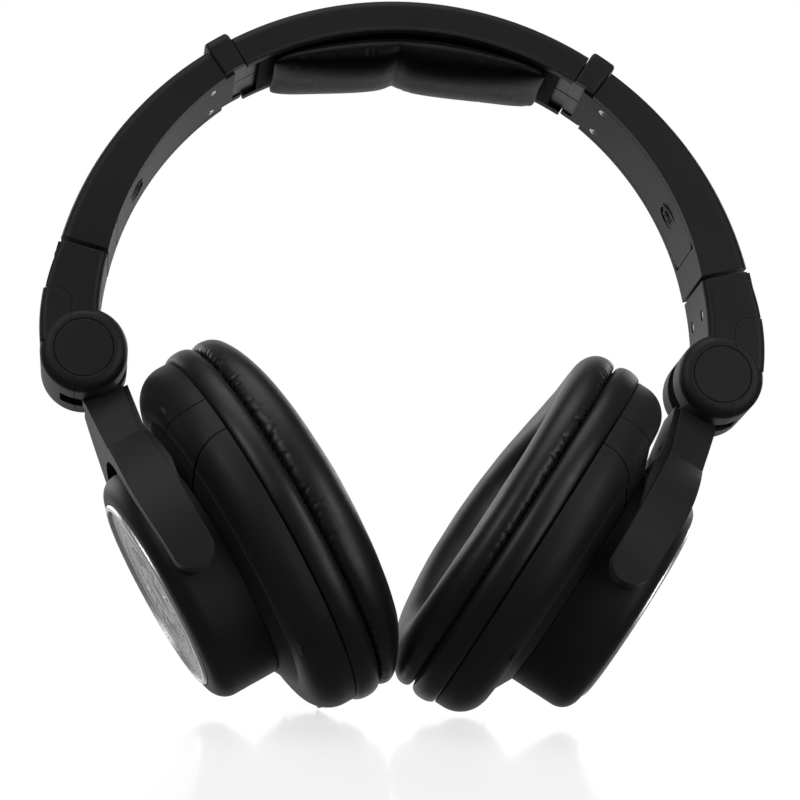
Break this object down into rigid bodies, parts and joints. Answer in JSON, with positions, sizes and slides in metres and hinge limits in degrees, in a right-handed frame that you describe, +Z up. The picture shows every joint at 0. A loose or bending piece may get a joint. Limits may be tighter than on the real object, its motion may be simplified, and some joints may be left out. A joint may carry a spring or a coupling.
{
  "type": "over-ear headphones",
  "caption": "Closed-back over-ear headphones: padded steel-sprung arch, sliding size arms, folding knuckles, swivelling yokes and tilting oval cups with soft ear cushions.",
  "frame": {"origin": "on the surface the cups stand on, midway between the cups and in line with the middle of the headband", "axes": "+X across the head towards the right-hand side of the view, +Y from front to back, +Z up to the crown"},
  "size_m": [0.1898, 0.089, 0.1884],
  "materials": {
    "soft_touch": "soft-touch matte black",
    "inset_plastic": "fine satin black",
    "inner_plastic": "matte black",
    "driver_body": "plain",
    "ear_cloth": "fine woven cloth",
    "spring_steel": "grey satin",
    "screw_steel": "bright zinc",
    "pin_steel": "ground",
    "barrel_metal": "black",
    "badge_rim": "polished",
    "badge_disc": "brushed",
    "pad_leather": "black leatherette, soft sheen",
    "jack_metal": "nickel"
  },
  "bodies": {
    "headband": {"crown_cover": "soft_touch", "spring_strips": "spring_steel", "pad_carrier": "inner_plastic", "headband_pad": "pad_leather", "band_screws": "screw_steel", "collar_left": "soft_touch", "side_cover_left": "soft_touch", "inner_plate_left": "soft_touch", "collar_right": "soft_touch", "side_cover_right": "soft_touch", "inner_plate_right": "soft_touch"},
    "slider_left": {"slider_strip_left": "spring_steel", "hinge_block_outer_left": "soft_touch", "hinge_block_inner_left": "soft_touch", "hinge_block_screws_left": "screw_steel", "grip_inset_left": "inset_plastic", "cap_discs_left": "soft_touch", "fold_pin_left": "pin_steel"},
    "barrel_left": {"fold_barrel_left": "barrel_metal", "swivel_clip_left": "pin_steel"},
    "yoke_left": {"yoke_cover_left": "soft_touch", "yoke_lining_left": "soft_touch", "yoke_screws_left": "screw_steel", "pivot_pins_left": "pin_steel"},
    "cup_left": {"drum_housing_left": "soft_touch", "badge_rim_left": "badge_rim", "badge_disc_left": "badge_disc", "shell_main_left": "soft_touch", "shell_lower_left": "soft_touch", "baffle_left": "inner_plastic", "baffle_screws_left": "screw_steel", "driver_left": "driver_body", "ear_cloth_left": "ear_cloth", "ear_cushion_left": "pad_leather", "jack_socket_left": "jack_metal"},
    "slider_right": {"slider_strip_right": "spring_steel", "hinge_block_outer_right": "soft_touch", "hinge_block_inner_right": "soft_touch", "hinge_block_screws_right": "screw_steel", "grip_inset_right": "inset_plastic", "cap_discs_right": "soft_touch", "fold_pin_right": "pin_steel"},
    "barrel_right": {"fold_barrel_right": "barrel_metal", "swivel_clip_right": "pin_steel"},
    "yoke_right": {"yoke_cover_right": "soft_touch", "yoke_lining_right": "soft_touch", "yoke_screws_right": "screw_steel", "pivot_pins_right": "pin_steel"},
    "cup_right": {"drum_housing_right": "soft_touch", "badge_rim_right": "badge_rim", "badge_disc_right": "badge_disc", "shell_main_right": "soft_touch", "shell_lower_right": "soft_touch", "baffle_right": "inner_plastic", "baffle_screws_right": "screw_steel", "driver_right": "driver_body", "ear_cloth_right": "ear_cloth", "ear_cushion_right": "pad_leather"}
  },
  "joints": [
    {"name": "size_slide_right", "type": "slide", "parent": "headband", "child": "slider_right", "axis": [0.2419, 0, -0.9703], "range_m": [0, 0.022]},
    {"name": "fold_right", "type": "hinge", "parent": "slider_right", "child": "barrel_right", "pos_m": [0.0832, 0, 0.08844], "axis": [0, 1, 0], "range_deg": [-28, 0]},
    {"name": "swivel_right", "type": "hinge", "parent": "barrel_right", "child": "yoke_right", "pos_m": [0.05442, 0, 0.03195], "axis": [0.454, 0, 0.891], "range_deg": [-90, 90]},
    {"name": "tilt_right", "type": "hinge", "parent": "yoke_right", "child": "cup_right", "pos_m": [0.05442, 0, 0.03195], "axis": [0, -1, 0], "range_deg": [0, 20]},
    {"name": "size_slide_left", "type": "slide", "parent": "headband", "child": "slider_left", "axis": [-0.2419, 0, -0.9703], "range_m": [0, 0.022]},
    {"name": "fold_left", "type": "hinge", "parent": "slider_left", "child": "barrel_left", "pos_m": [-0.0832, 0, 0.08844], "axis": [0, -1, 0], "range_deg": [-28, 0]},
    {"name": "swivel_left", "type": "hinge", "parent": "barrel_left", "child": "yoke_left", "pos_m": [-0.05442, 0, 0.03195], "axis": [0.454, 0, -0.891], "range_deg": [-90, 90]},
    {"name": "tilt_left", "type": "hinge", "parent": "yoke_left", "child": "cup_left", "pos_m": [-0.05442, 0, 0.03195], "axis": [0, 1, 0], "range_deg": [0, 20]}
  ]
}
